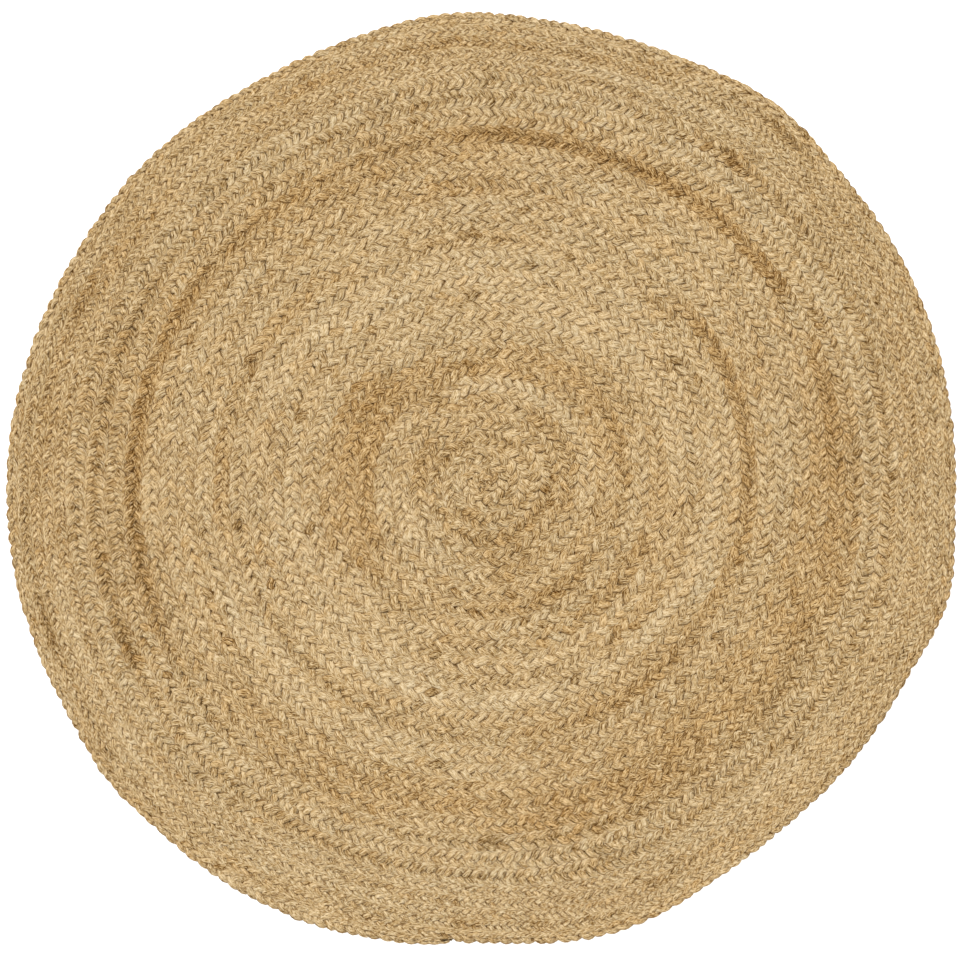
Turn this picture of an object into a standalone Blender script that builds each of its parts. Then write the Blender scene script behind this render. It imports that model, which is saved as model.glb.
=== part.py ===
"""Round braided jute rug, modelled as the coil that it is sewn from.

One flat braid of three strands starts in a small knot, winds outwards counterclockwise
and lies edge to edge with itself. It is finer in the turns next to the rim, and its tail
runs out against the turn before it. The whole coil is sewn into one flat piece, so it is
one solid: a flat underside, and a top where each turn stands up as a soft ridge between
two seams.

Metres, +Z up. The origin is the centre of the coil, on the underside.
"""

import math
from collections import namedtuple

import bmesh
import bpy

# Driving sizes
KNOT_RADIUS = 0.010  # the knot that the braid starts from
INNER_BRAID_WIDTH = 0.02307  # the main braid is a little plumper in its inner turns
MAIN_BRAID_WIDTH = 0.0223
FINE_BRAID_WIDTH = 0.0147
INNER_TURNS = 13  # full turns of it, after the one that grows from the knot
MAIN_TURNS = 9.05
FINE_TURNS = 5
TAIL_STEPS = 5  # how far the fine braid runs past its last full turn
TAIL_NARROWING_STEPS = 3  # the end of it, where it narrows to nothing
SPLICE_BEARING = 236.0  # degrees, where the main braid gives way to the fine one

MAIN_CREST_HEIGHT = 0.0086
FINE_CREST_HEIGHT = 0.0078
SEAM_HEIGHT = 0.0060
RIM_HEIGHT = 0.0040  # where the rim reaches furthest out
UNDERSIDE_INSET = 0.0026  # the flat underside ends this far inside the rim
UNEVENNESS = 0.0004  # how far a crest wanders up and down
UNEVEN_WAVES_PER_TURN = (0.43, 3.17)
HALF_WIDTH = 0.5  # below this share of its full width, the braid is thinner too

# How a turn is divided
STEPS_PER_TURN = 60
CREST_SHARES = (0.27, 0.73)  # the two crest lines, as shares of the braid's width
RIM_CREST_SHARES = (0.32, 0.84)  # the same for the last turn, which rolls over the rim

# Where the coil was sewn tighter or slacker, so that its turns aren't true circles.
# Bearings and reaches are in degrees, counterclockwise from +X, and heights in metres.
Lump = namedtuple("Lump", "bearing reach height")
COIL_LUMPS = (
    Lump(bearing=24, reach=58, height=0.0115),
    Lump(bearing=117, reach=26, height=-0.0085),
    Lump(bearing=165, reach=70, height=-0.0055),
    Lump(bearing=347, reach=24, height=0.0045),
)
COIL_LUMPS_START, COIL_LUMPS_FULL = 0.020, 0.090  # radii between which these set in
RIM_LUMPS = (
    Lump(bearing=53, reach=14, height=0.0095),
    Lump(bearing=94, reach=13, height=0.0040),
    Lump(bearing=182, reach=42, height=0.0105),
    Lump(bearing=218, reach=10, height=0.0055),
    Lump(bearing=254, reach=24, height=-0.0055),
    Lump(bearing=286, reach=16, height=0.0085),
    Lump(bearing=310, reach=22, height=-0.0070),
    Lump(bearing=346, reach=12, height=0.0110),
)
RIM_LUMPS_START, RIM_LUMPS_FULL = 0.420, 0.580

# Colour and finish
JUTE_COLOUR = (0.52, 0.36, 0.18, 1.0)
JUTE_ROUGHNESS = 0.9


def smooth_step(value, start, full):
    """0 below start, 1 above full, and a smooth rise between them."""
    share = min(max((value - start) / (full - start), 0.0), 1.0)
    return share * share * (3.0 - 2.0 * share)


def lump_height(lumps, bearing):
    """The sum of the lumps at a bearing, each a rounded hump as wide as its reach."""
    total = 0.0
    for lump in lumps:
        away = abs((bearing - lump.bearing + 180.0) % 360.0 - 180.0)
        if away < lump.reach:
            total += lump.height * 0.5 * (1.0 + math.cos(math.pi * away / lump.reach))
    return total


class Coil:
    """The seams of the coil, one point a step, from the knot to the tail."""

    def __init__(self):
        self.inner_end = (1 + INNER_TURNS) * STEPS_PER_TURN
        self.splice = self.inner_end + round(MAIN_TURNS * STEPS_PER_TURN)
        self.length = self.splice + FINE_TURNS * STEPS_PER_TURN + TAIL_STEPS
        self.start_bearing = SPLICE_BEARING - 360.0 * self.splice / STEPS_PER_TURN
        self.radii = [KNOT_RADIUS] * STEPS_PER_TURN
        for step in range(self.length):
            self.radii.append(self.radii[step] + self.braid_width(step))

    def braid_width(self, step):
        """The braid grows from nothing at the knot, and narrows to nothing at its tail."""
        if step < self.inner_end:
            return INNER_BRAID_WIDTH * min(step / STEPS_PER_TURN, 1.0)
        if step < self.splice:
            return MAIN_BRAID_WIDTH
        left = self.length - step
        return FINE_BRAID_WIDTH * min(left / TAIL_NARROWING_STEPS, 1.0)

    def point(self, step, radius, height):
        """A point at a step's bearing, with the lumps added to its even radius."""
        bearing = self.start_bearing + 360.0 * step / STEPS_PER_TURN
        coil_share = smooth_step(radius, COIL_LUMPS_START, COIL_LUMPS_FULL)
        rim_share = smooth_step(radius, RIM_LUMPS_START, RIM_LUMPS_FULL)
        radius += coil_share * lump_height(COIL_LUMPS, bearing)
        radius += rim_share * lump_height(RIM_LUMPS, bearing)
        angle = math.radians(bearing)
        return (radius * math.cos(angle), radius * math.sin(angle), height)

    def crest_height(self, step):
        """The crests sink to the seams where the braid starts and ends."""
        full, widest = MAIN_CREST_HEIGHT, MAIN_BRAID_WIDTH
        if step >= self.splice:
            full, widest = FINE_CREST_HEIGHT, FINE_BRAID_WIDTH
        stand = min(self.braid_width(step) / (HALF_WIDTH * widest), 1.0)
        turns = step / STEPS_PER_TURN
        waves = [math.sin(math.tau * rate * turns) for rate in UNEVEN_WAVES_PER_TURN]
        wander = UNEVENNESS * sum(waves) / len(waves)
        return SEAM_HEIGHT + stand * (full - SEAM_HEIGHT + wander)

    def on_rim(self, step):
        """Whether a seam point lies on the outside of the rug."""
        return step >= self.length


def add_seam_points(mesh, coil):
    """One vertex a step. The braid starts and ends with no width, on a point it shares."""
    seam = []
    for step, radius in enumerate(coil.radii):
        height = RIM_HEIGHT if coil.on_rim(step) else SEAM_HEIGHT
        seam.append(mesh.verts.new(coil.point(step, radius, height)))
    mesh.verts.remove(seam[STEPS_PER_TURN])
    seam[STEPS_PER_TURN] = seam[0]
    seam.append(seam[coil.length])
    return seam


def add_crest_points(mesh, coil, seam):
    """The two lines of vertices along the top of the braid, between its seams."""
    crests = []
    for step in range(coil.length + 1):
        if step in (0, coil.length):
            crests.append([seam[step]] * len(CREST_SHARES))
            continue
        inner, outer = coil.radii[step], coil.radii[step + STEPS_PER_TURN]
        rolls_over = coil.on_rim(step + STEPS_PER_TURN)
        shares = RIM_CREST_SHARES if rolls_over else CREST_SHARES
        places = [inner + share * (outer - inner) for share in shares]
        height = coil.crest_height(step)
        crests.append([mesh.verts.new(coil.point(step, place, height)) for place in places])
    return crests


def add_braid_faces(mesh, coil, seam, crests):
    """The top of the braid. At its two ends the faces close to a point."""
    rows = [
        [seam[step], *crests[step], seam[step + STEPS_PER_TURN]]
        for step in range(coil.length + 1)
    ]
    for near, far in zip(rows, rows[1:]):
        for line in range(len(near) - 1):
            corners = (near[line], near[line + 1], far[line + 1], far[line])
            mesh.faces.new(list(dict.fromkeys(corners)))


def build_rug_mesh():
    """The closed mesh of the whole coil."""
    coil = Coil()
    mesh = bmesh.new()
    seam = add_seam_points(mesh, coil)
    add_braid_faces(mesh, coil, seam, add_crest_points(mesh, coil, seam))

    knot_top = mesh.verts.new((0.0, 0.0, MAIN_CREST_HEIGHT))
    for step in range(STEPS_PER_TURN):
        mesh.faces.new((knot_top, seam[step], seam[step + 1]))

    rim_steps = range(coil.length, coil.length + STEPS_PER_TURN)
    underside = [
        mesh.verts.new(coil.point(step, coil.radii[step] - UNDERSIDE_INSET, 0.0))
        for step in rim_steps
    ]
    for index, step in enumerate(rim_steps):
        following = underside[(index + 1) % STEPS_PER_TURN]
        mesh.faces.new((seam[step + 1], seam[step], underside[index], following))
    mesh.faces.new(underside[::-1])
    return mesh


def make_material(name, colour, roughness):
    """A plain material with the fibre's colour."""
    material = bpy.data.materials.new(name)
    material.use_nodes = True
    shader = material.node_tree.nodes["Principled BSDF"]
    shader.inputs["Base Color"].default_value = colour
    shader.inputs["Roughness"].default_value = roughness
    shader.inputs["Metallic"].default_value = 0.0
    return material


def main():
    for old in list(bpy.data.objects):
        bpy.data.objects.remove(old, do_unlink=True)
    data = bpy.data.meshes.new("braided_rug")
    mesh = build_rug_mesh()
    mesh.to_mesh(data)
    mesh.free()
    data.shade_smooth()
    data.set_sharp_from_angle(angle=math.radians(50))
    data.materials.append(make_material("jute", JUTE_COLOUR, JUTE_ROUGHNESS))
    rug = bpy.data.objects.new("braided_rug", data)
    bpy.context.scene.collection.objects.link(rug)


main()
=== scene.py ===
"""Round braided jute rug: the braid, its loose fibres and its finishes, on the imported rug.

The rug is one flat braid of three strands of jute fibre. It starts in a tight curl, winds
outwards counterclockwise and lies edge to edge with itself, sewn through from side to side.
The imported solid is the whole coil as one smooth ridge. Here it is the real braid: three
strands that pass over and under each other, the bed of fibre between them, and the hairs
that stand off them.

Metres, +Z up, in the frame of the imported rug: the origin is the centre of the coil, on the
floor. A place along the braid is given in turns of the coil, counted from the end of the
curl in its middle, and a bearing in degrees, counterclockwise from +X.
"""

from __future__ import annotations

import logging
import math
from dataclasses import dataclass, field
from enum import Enum, IntEnum

import bpy
import numpy as np
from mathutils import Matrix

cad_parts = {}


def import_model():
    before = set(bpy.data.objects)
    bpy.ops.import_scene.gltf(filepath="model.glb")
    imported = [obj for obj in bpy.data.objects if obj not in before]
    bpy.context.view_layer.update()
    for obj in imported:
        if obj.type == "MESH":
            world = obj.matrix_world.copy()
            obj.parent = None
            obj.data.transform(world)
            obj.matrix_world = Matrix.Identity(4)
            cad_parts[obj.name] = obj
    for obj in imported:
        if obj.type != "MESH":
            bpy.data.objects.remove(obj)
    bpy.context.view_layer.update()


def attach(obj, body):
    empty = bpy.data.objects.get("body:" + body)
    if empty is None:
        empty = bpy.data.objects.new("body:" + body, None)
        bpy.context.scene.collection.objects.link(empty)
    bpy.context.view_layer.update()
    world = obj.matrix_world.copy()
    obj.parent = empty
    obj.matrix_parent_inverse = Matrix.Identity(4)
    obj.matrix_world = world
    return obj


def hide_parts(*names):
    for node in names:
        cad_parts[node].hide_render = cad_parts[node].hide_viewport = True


LOG = logging.getLogger("rug")
Array = np.ndarray
Piece = bpy.types.Object
Socket = bpy.types.NodeSocket
Colour = tuple[float, float, float]
CAD_NODE = "braided_rug"
BODY = "root"


class Seed(IntEnum):
    """The seeds of the random curves.

    A curve that each strand has for itself adds the strand's number, and one that each rib
    of each strand has adds the rib's number too.
    """

    HAIRS = 7
    BRAID_SHADE = 11
    PLAIT_LENGTH = 12
    DRIFT = 15
    TIP = 16
    STRAND_SHADE = 21
    LEG_SHADE = 31
    STRAND_WARMTH = 41
    ODD_LEGS = 51
    LEG_STRAY = 61
    LEG_HEIGHT = 71
    LEG_WIDTH = 81
    LEG_THICKNESS = 91
    LEG_ROLL = 101
    LEG_PHASE = 111
    LEG_WARMTH = 121
    RIB_HEIGHT = 1000
    RIB_SHADE = 1500


def smooth_step(value: Array, start: float, full: float) -> Array:
    """A smooth rise.

    Args:
        value: Where to read it.
        start: Where it leaves 0.
        full: Where it reaches 1.

    Returns:
        0 below start, 1 above full, and a smooth rise between them.
    """
    share = np.clip((value - start) / (full - start), 0.0, 1.0)
    return share * share * (3.0 - 2.0 * share)


class Wander:
    """A smooth random curve, the same in each run, with a spread of about 1."""

    def __init__(self, seed: int, first: float, last: float, spacing: float) -> None:
        """Draws the curve's values.

        Args:
            seed: Names the curve.
            first: Where it starts.
            last: Where it ends.
            spacing: The distance between two drawn values.
        """
        count = int(math.ceil((last - first) / spacing)) + 3
        self.first = first
        self.spacing = spacing
        self.values = np.random.default_rng(seed).standard_normal(count)

    def at(self, place: Array) -> Array:
        """Reads the curve.

        Args:
            place: Where to read it.

        Returns:
            Its values there.
        """
        steps = (place - self.first) / self.spacing
        before = np.clip(np.floor(steps).astype(int), 0, len(self.values) - 2)
        share = smooth_step(steps - before, 0.0, 1.0)
        return self.values[before] * (1.0 - share) + self.values[before + 1] * share


@dataclass(frozen=True)
class Lump:
    """A stretch of the coil that was sewn slacker (or tighter, where the height is negative).

    Attributes:
        bearing: Its middle, in degrees.
        reach: How far it goes on each side, in degrees.
        height: How far it pushes the turns out, in metres.
    """

    bearing: float
    reach: float
    height: float

    def push(self, bearing: Array) -> Array:
        """How far the lump pushes out, as a rounded hump.

        Args:
            bearing: Where to read it.

        Returns:
            The push at each bearing.
        """
        away = np.abs((bearing - self.bearing + 180.0) % 360.0 - 180.0)
        hump = 0.5 * (1.0 + np.cos(math.pi * np.minimum(away / self.reach, 1.0)))
        return self.height * hump


@dataclass(frozen=True)
class Coil:
    """The spiral that the braid follows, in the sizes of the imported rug.

    Attributes:
        knot_radius: The radius of the curl that the braid starts from.
        curl: Where the curl starts, in turns.
        inner_width: The width of the braid in the turns next to the curl.
        inner_turns: The number of those.
        main_width: The width of the braid in most turns.
        fine_width: The width of the finer braid of the last turns.
        splice: Where the finer braid takes over, in turns.
        fine_turns: The number of finer turns.
        tail: How far the braid runs on after them, in turns.
        narrowing: The end of the tail, where it narrows to nothing, in turns.
        step_spread: How far a step of the seams is spread on each side, in turns.
        start_bearing: The bearing at 0 turns.
        coil_lumps, rim_lumps: The lumps of the whole coil, and those of the rim alone.
        coil_lumps_from, rim_lumps_from: The radii between which those set in.
    """

    knot_radius: float = 0.010
    curl: float = 0.45
    inner_width: float = 0.02307
    inner_turns: float = 13.0
    main_width: float = 0.0223
    fine_width: float = 0.0147
    splice: float = 23.5
    fine_turns: int = 5
    tail: float = 5.0 / 60.0
    narrowing: float = 3.0 / 60.0
    step_spread: float = 0.02
    start_bearing: float = 56.0
    coil_lumps: tuple[Lump, ...] = (
        Lump(bearing=24, reach=58, height=0.0115),
        Lump(bearing=117, reach=26, height=-0.0085),
        Lump(bearing=165, reach=70, height=-0.0055),
        Lump(bearing=347, reach=24, height=0.0045),
    )
    coil_lumps_from: tuple[float, float] = (0.020, 0.090)
    rim_lumps: tuple[Lump, ...] = (
        Lump(bearing=53, reach=14, height=0.0095),
        Lump(bearing=94, reach=13, height=0.0040),
        Lump(bearing=182, reach=42, height=0.0105),
        Lump(bearing=218, reach=10, height=0.0055),
        Lump(bearing=254, reach=24, height=-0.0055),
        Lump(bearing=286, reach=16, height=0.0085),
        Lump(bearing=310, reach=22, height=-0.0070),
        Lump(bearing=346, reach=12, height=0.0110),
    )
    rim_lumps_from: tuple[float, float] = (0.420, 0.580)

    @property
    def start(self) -> float:
        """Where the braid starts, in turns: one turn inside the curl."""
        return self.curl - 1.0

    @property
    def end(self) -> float:
        """Where the braid ends, in turns."""
        return self.splice + self.fine_turns + self.tail

    def bearing(self, turns: Array) -> Array:
        """The bearing at each place along the braid, in degrees."""
        return self.start_bearing + 360.0 * turns

    def seam(self, turns: Array) -> Array:
        """The seam inside the braid, before the lumps, and past its end the rim of the rug.

        Args:
            turns: Places along the braid. One turn further on is the seam outside it.

        Returns:
            The seam's radius at each of them.
        """
        left = np.clip((self.end + 1.0 - turns) / self.narrowing, 0.0, 1.0)
        inside, full = self._even_seam(turns - 1.0), self._even_seam(turns)
        return np.where(turns > self.end, inside + (full - inside) * np.sqrt(left), full)

    def _even_seam(self, turns: Array) -> Array:
        """The seam of a coil that never ends.

        Args:
            turns: Places along the braid.

        Returns:
            The seam's radius at each of them.
        """
        gone = turns - self.curl
        radius = self.knot_radius * np.clip(gone, 0.0, 1.0)
        radius = radius + self.inner_width * np.clip(gone - 1.0, 0.0, self.inner_turns)
        radius = radius + self.main_width * np.maximum(gone - 1.0 - self.inner_turns, 0.0)
        for turn in range(1, self.fine_turns + 1):
            middle = self.splice + turn
            step = smooth_step(turns, middle - self.step_spread, middle + self.step_spread)
            radius = radius - (self.main_width - self.fine_width) * step
        return radius

    def lumped(self, radius: Array, bearing: Array) -> Array:
        """Adds the lumps to a radius.

        Args:
            radius: Radii of the even coil.
            bearing: The bearing of each.

        Returns:
            The radii of the rug as it was sewn.
        """
        inner = sum(lump.push(bearing) for lump in self.coil_lumps)
        outer = sum(lump.push(bearing) for lump in self.rim_lumps)
        inner_share = smooth_step(radius, *self.coil_lumps_from)
        outer_share = smooth_step(radius, *self.rim_lumps_from)
        return radius + inner_share * inner + outer_share * outer

    def edges(self, turns: Array) -> tuple[Array, Array]:
        """The two edges of the braid.

        Args:
            turns: Places along the braid.

        Returns:
            The radii of its inner and outer edge, with the lumps and the narrowing tail.
        """
        bearing = self.bearing(turns)
        inner, outer = self.seam(turns), self.seam(turns + 1.0)
        return self.lumped(inner, bearing), self.lumped(outer, bearing)


class CentreLine:
    """The middle of the braid, measured once and then read at any place along it."""

    SAMPLES_PER_TURN = 1800
    SHORTEST = 1e-9  # keeps a direction from being divided by zero

    def __init__(self, coil: Coil, lay: Lay) -> None:
        """Measures the line.

        Args:
            coil: The spiral that it follows.
            lay: How long one full plait is at each place.
        """
        count = int((coil.end - coil.start) * self.SAMPLES_PER_TURN)
        self.turns = np.linspace(coil.start, coil.end, count)
        inner, outer = coil.edges(self.turns)
        angle = np.radians(coil.bearing(self.turns))
        middle = 0.5 * (inner + outer)
        self.half_width = 0.5 * (outer - inner)
        self.points = np.column_stack((middle * np.cos(angle), middle * np.sin(angle)))
        steps = np.hypot(*np.diff(self.points, axis=0).T)
        self.length = np.concatenate(([0.0], np.cumsum(steps)))
        tangent = np.gradient(self.points, self.length, axis=0)
        self.tangent = tangent / self._lengths(tangent)
        total = float(self.length[-1])
        slack = Wander(Seed.PLAIT_LENGTH, 0.0, total, lay.uneven_spacing).at(self.length)
        rate = 2.0 * math.pi / (lay.length(self.turns) * (1.0 + lay.uneven * slack))
        rises = 0.5 * (rate[1:] + rate[:-1]) * steps
        self.phase = np.concatenate(([0.0], np.cumsum(rises)))

    def _lengths(self, directions: Array) -> Array:
        """The length of each direction, as a column."""
        return np.maximum(np.hypot(*directions.T), self.SHORTEST)[:, None]

    def read(self, phase: Array) -> CentrePlaces:
        """Reads the line.

        Args:
            phase: How far the plait has gone, in radians from the start of the braid.

        Returns:
            The line at those places.
        """
        turns = np.interp(phase, self.phase, self.turns)
        points = [np.interp(turns, self.turns, part) for part in self.points.T]
        tangent = [np.interp(turns, self.turns, part) for part in self.tangent.T]
        along = np.column_stack(tangent)
        along /= self._lengths(along)
        return CentrePlaces(
            turns=turns,
            length=np.interp(turns, self.turns, self.length),
            half_width=np.interp(turns, self.turns, self.half_width),
            points=np.column_stack(points),
            along=along,
            outwards=np.column_stack((along[:, 1], -along[:, 0])),
        )


@dataclass(frozen=True)
class CentrePlaces:
    """Places on the middle of the braid.

    Attributes:
        turns: Where each is, in turns.
        length: Where each is, in metres from the start.
        half_width: Half the braid's width there.
        points: Where it is, seen from above.
        along: The way that the braid runs there.
        outwards: Square to that, away from the centre of the rug.
    """

    turns: Array
    length: Array
    half_width: Array
    points: Array
    along: Array
    outwards: Array


@dataclass(frozen=True)
class Lay:
    """How long one full plait is: the distance in which a strand comes back to its place.

    Attributes:
        places: Places along the braid, in turns.
        lengths: The length of a plait at each, in metres.
        uneven: How far that differs, as a share, over uneven_spacing metres.
    """

    places: tuple[float, ...] = (-1.0, 0.0, 1.0, 3.0, 6.0, 20.8, 20.9, 27.3, 27.5, 29.0)
    lengths: tuple[float, ...] = (
        0.019, 0.026, 0.034, 0.038, 0.045, 0.045, 0.0325, 0.0325, 0.046, 0.046
    )
    uneven: float = 0.11
    uneven_spacing: float = 0.07

    def length(self, turns: Array) -> Array:
        """The length of a plait at each place, in metres."""
        return np.interp(turns, self.places, self.lengths)


@dataclass(frozen=True)
class Stretch:
    """A stretch of the braid that was plaited from another batch of fibre.

    Attributes:
        start: Where it starts, in turns.
        end: Where it ends, in turns.
        shade: Paler where positive, darker where negative. 1 is a strong difference.
        warmth: Redder where positive, greyer and greener where negative.
    """

    start: float
    end: float
    shade: float
    warmth: float = 0.0

    SOFT_SHARE = 0.25
    LONGEST_BLEND = 0.12

    def share(self, turns: Array) -> Array:
        """Reads how far a place belongs to the stretch, which has short soft ends.

        Args:
            turns: Places along the braid.

        Returns:
            1 inside the stretch and 0 outside it.
        """
        soft = self.SOFT_SHARE * min(self.end - self.start, self.LONGEST_BLEND)
        rise = smooth_step(turns, self.start - soft, self.start + soft)
        return rise - smooth_step(turns, self.end - soft, self.end + soft)


def stretches_of(rows: tuple[tuple[float, ...], ...]) -> tuple[Stretch, ...]:
    """Makes a stretch of each row of a table: its start, end, shade and, if any, warmth."""
    return tuple(Stretch(*row) for row in rows)


# The batches that show from a step away: start and end in turns, shade, warmth.
BATCHES = (
    (-0.55,  0.08, -1.10,  0.30), ( 0.08,  0.33, -1.20,  0.50), ( 0.33,  0.63, -0.85,  0.40),
    ( 0.71,  1.06, -0.75,  0.00), ( 1.57,  1.60, -0.80, -0.50), ( 1.60,  1.75,  0.35, -0.45),
    ( 2.49,  2.60, -0.40,  0.40), ( 2.60,  2.73,  0.40, -0.50), ( 2.98,  3.29, -0.55,  0.40),
    ( 3.52,  3.63, -1.00, -0.10), ( 3.63,  3.75, -0.60,  0.30), ( 3.75,  3.85, -1.00,  0.65),
    ( 4.23,  4.36, -0.90,  0.50), ( 4.38,  4.59,  0.45, -0.40), ( 4.60,  4.83, -0.70,  0.15),
    ( 4.87,  5.00, -0.75,  0.20), ( 5.33,  5.61,  0.55, -0.50), ( 5.80,  6.17,  0.60, -0.30),
    ( 6.19,  6.42,  0.45, -0.10), ( 6.72,  6.92,  0.00,  0.35), ( 6.92,  7.20, -0.50,  0.55),
    ( 7.20,  7.43, -1.15,  0.85), ( 7.45,  7.56,  0.30,  0.30), ( 7.57,  7.66, -0.35,  0.50),
    ( 7.66,  7.75, -0.90,  1.00), ( 7.80,  7.90, -0.25,  0.40), ( 7.90,  8.06, -0.75,  0.70),
    ( 8.13,  8.20, -0.20,  0.50), ( 8.20,  8.31, -0.90,  1.20), ( 8.31,  8.46, -0.30,  0.70),
    ( 8.52,  8.66,  0.40, -0.10), ( 8.79,  8.93,  0.35, -0.35), ( 9.00,  9.20,  0.40, -0.35),
    ( 9.22,  9.28, -0.65,  1.00), ( 9.28,  9.42,  0.00,  0.50), ( 9.42,  9.56,  0.75,  0.05),
    ( 9.69,  9.82, -0.40,  0.60), ( 9.82,  9.90,  0.00,  0.75), ( 9.97, 10.34,  0.70, -0.25),
    (10.34, 10.73,  0.55,  0.00), (10.74, 10.85,  0.40,  0.40), (10.85, 11.18,  0.60, -0.15),
    (11.25, 11.33,  0.70, -0.10), (11.33, 11.56,  1.05, -0.30), (11.68, 11.82, -0.05,  0.50),
    (11.86, 12.02,  0.60, -0.35), (12.03, 12.24,  0.90, -0.40), (12.34, 12.50,  0.90, -0.20),
    (12.50, 12.66,  1.40, -0.50), (12.66, 12.86,  0.75, -0.40), (12.94, 13.10,  0.50, -0.50),
    (13.10, 13.25,  1.15, -0.40), (13.25, 13.60,  0.50,  0.10), (13.76, 14.08,  0.55, -0.30),
    (14.12, 14.43,  0.70, -0.20), (14.62, 14.95, -0.70,  0.80), (14.97, 15.11, -0.30, -0.45),
    (15.20, 15.38, -0.40,  0.45), (15.41, 15.58,  0.65, -0.30), (15.93, 16.18,  0.40, -0.50),
    (16.18, 16.42,  0.60, -0.30), (16.42, 16.62,  0.95, -0.25), (16.83, 16.93, -0.45,  0.10),
    (17.08, 17.15, -0.30,  0.45), (17.54, 17.65, -0.20,  0.35), (17.65, 17.83, -0.65,  0.50),
    (17.85, 18.08,  0.10, -0.50), (18.21, 18.43,  0.45, -0.35), (18.45, 18.60, -0.45,  0.45),
    (18.60, 18.89, -0.80,  0.70), (19.10, 19.34, -0.35,  0.40), (19.49, 19.55, -0.30,  0.40),
    (19.60, 19.84, -0.80,  1.00), (19.84, 20.11, -1.60,  0.90), (20.11, 20.22, -0.75,  0.60),
    (20.22, 20.41, -1.30,  0.95), (20.54, 20.62,  0.00, -0.50), (20.63, 20.89, -1.05,  0.30),
    (21.44, 21.63,  0.70, -0.50), (21.63, 21.86,  0.20, -0.45), (21.86, 22.08,  0.55, -0.85),
    (22.08, 22.20,  0.15, -0.55), (22.24, 22.42, -1.00,  0.05), (22.52, 22.68,  0.00, -0.45),
    (22.86, 23.01, -0.50, -0.25), (23.01, 23.25,  0.10, -0.55), (23.28, 23.32, -0.45,  0.15),
    (23.38, 23.77,  0.25, -0.50), (23.88, 24.05, -0.35, -0.50), (24.30, 24.40, -0.50,  0.10),
    (24.49, 24.77,  0.50, -0.35), (24.85, 24.90, -0.55,  0.20), (24.97, 25.07,  0.40, -0.80),
    (25.22, 25.38, -0.20,  0.30), (25.39, 25.58,  0.60, -0.45), (25.93, 26.05, -0.70, -0.40),
    (26.05, 26.18, -0.70,  0.40), (26.24, 26.35, -1.10,  0.40), (26.43, 26.66,  0.10, -0.45),
    (26.77, 27.00, -0.10, -0.40), (27.20, 27.47, -0.60, -0.25),
)

# Single legs of much darker, paler or greener fibre, in the same columns.
MARKS = (
    (13.765, 13.800,  0.70, -0.80), (16.830, 16.890,  0.80, -1.00),
    (19.914, 19.932,  1.90, -1.60), (20.592, 20.602, -1.40, -0.60),
    (22.402, 22.420, -2.00,  0.20), (22.985, 22.996, -1.60,  0.40),
    (25.656, 25.666, -1.30,  0.30), (26.270, 26.282, -1.30,  0.30),
    (26.583, 26.594, -1.20,  0.90), (26.608, 26.618, -1.30,  0.30),
    (26.974, 26.990, -2.00,  0.30), (27.388, 27.404, -1.60,  0.10),
)

# Where the edges of the braid are paler than its middle (or darker, where it is negative):
# start and end in turns, and how much.
PALE_EDGES = (
    (-0.55, 28.60, -0.45), ( 1.60,  3.90,  2.90), ( 3.90,  4.90,  1.30),
    ( 6.90,  8.00,  1.50), (11.90, 13.00, -0.80), (13.95, 14.95,  1.80),
    (16.90, 18.05, -0.80), (19.95, 20.75,  2.30), (20.75, 21.80,  1.00),
    (21.80, 22.90,  2.80), (22.90, 23.45,  1.00), (23.50, 26.90, -0.45),
)


@dataclass(frozen=True)
class FibreBatches:
    """The tones of the fibre along the braid, from rug-wide stretches to single legs.

    Shades and warmths are in the measure that a stretch has them in.

    Attributes:
        stretches: The batches and the marks.
        pale_edges: The stretches whose edges differ from their middle.
        edge_balance: What the edges' share of that starts from, so that the mean tone stays.
        braid_spread: How far the whole braid wanders in shade, over braid_spacing metres.
        strand_spread: How far a strand wanders in shade, over strand_spacing metres.
        leg_spread: How far one leg differs from the next in shade.
        warmth_spread: How far a strand wanders in warmth, over strand_spacing metres.
        leg_warmth: How far one leg differs from the next in warmth.
        odd_legs: The share of legs plaited from a wisp of much darker fibre.
        odd_leg_shade: The shade of those.
    """

    stretches: tuple[Stretch, ...] = stretches_of(BATCHES + MARKS)
    pale_edges: tuple[Stretch, ...] = stretches_of(PALE_EDGES)
    edge_balance: float = 0.4
    braid_spacing: float = 0.22
    braid_spread: float = 0.24
    strand_spacing: float = 0.07
    strand_spread: float = 0.40
    leg_spread: float = 0.36
    warmth_spread: float = 0.32
    leg_warmth: float = 0.45
    odd_legs: float = 0.012
    odd_leg_shade: float = -2.2

    def tone(self, turns: Array) -> StrandTones:
        """Adds up the stretches.

        Args:
            turns: Places along the braid.

        Returns:
            The tone that the stretches give there.
        """
        shade, warmth, edge = np.zeros((3, *turns.shape))
        for stretch in self.stretches:
            share = stretch.share(turns)
            shade += stretch.shade * share
            warmth += stretch.warmth * share
        for stretch in self.pale_edges:
            edge += stretch.shade * stretch.share(turns)
        return StrandTones(shade, warmth, edge)


@dataclass(frozen=True)
class StrandTones:
    """The tone of each ring of a strand, as the finish reads it.

    Attributes:
        shade: Paler where positive, darker where negative.
        warmth: Redder where positive, greener where negative.
        edge: How much paler the edges of the braid are than its middle.
    """

    shade: Array
    warmth: Array
    edge: Array


class Reach(Enum):
    """The two lengths in which each strand is made, from the middle of the rug outwards."""

    INNER = "inner"
    OUTER = "outer"


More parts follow.
